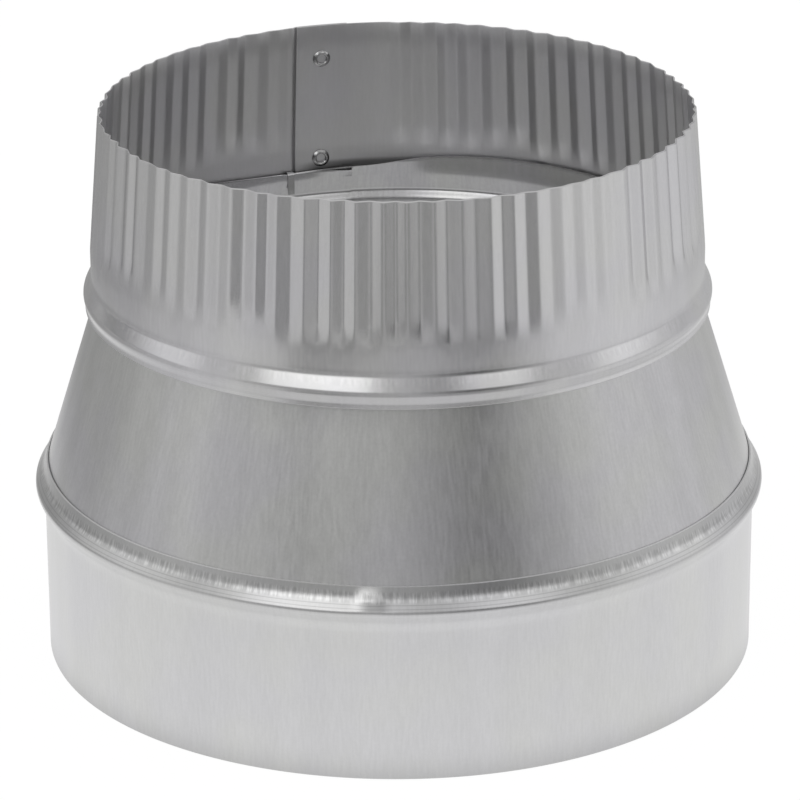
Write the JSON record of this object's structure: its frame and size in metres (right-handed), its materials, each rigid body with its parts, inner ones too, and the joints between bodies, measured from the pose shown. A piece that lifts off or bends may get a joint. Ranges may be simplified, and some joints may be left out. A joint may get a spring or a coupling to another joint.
{
  "type": "duct reducer",
  "caption": "Round sheet-metal duct reducer: a beaded plain collar, a conical taper and a smaller beaded collar with a crimped end.",
  "frame": {"origin": "on the duct's axis, level with the edge of the large plain end, on which the reducer stands", "axes": "+Z along the duct's axis, from the large end to the crimped small end; -Y towards the front of the picture; the seams are at the back, a little towards -X"},
  "size_m": [0.1832, 0.1832, 0.1396],
  "materials": {
    "small_collar_sheet": "galvanised, satin",
    "cone_sheet": "galvanised, fine spangle",
    "large_collar_sheet": "galvanised, fine brushing",
    "rivet_steel": "plated, bright"
  },
  "bodies": {
    "root": {"small_collar": "small_collar_sheet", "cone": "cone_sheet", "large_collar": "large_collar_sheet", "seam_rivets": "rivet_steel"}
  },
  "joints": []
}
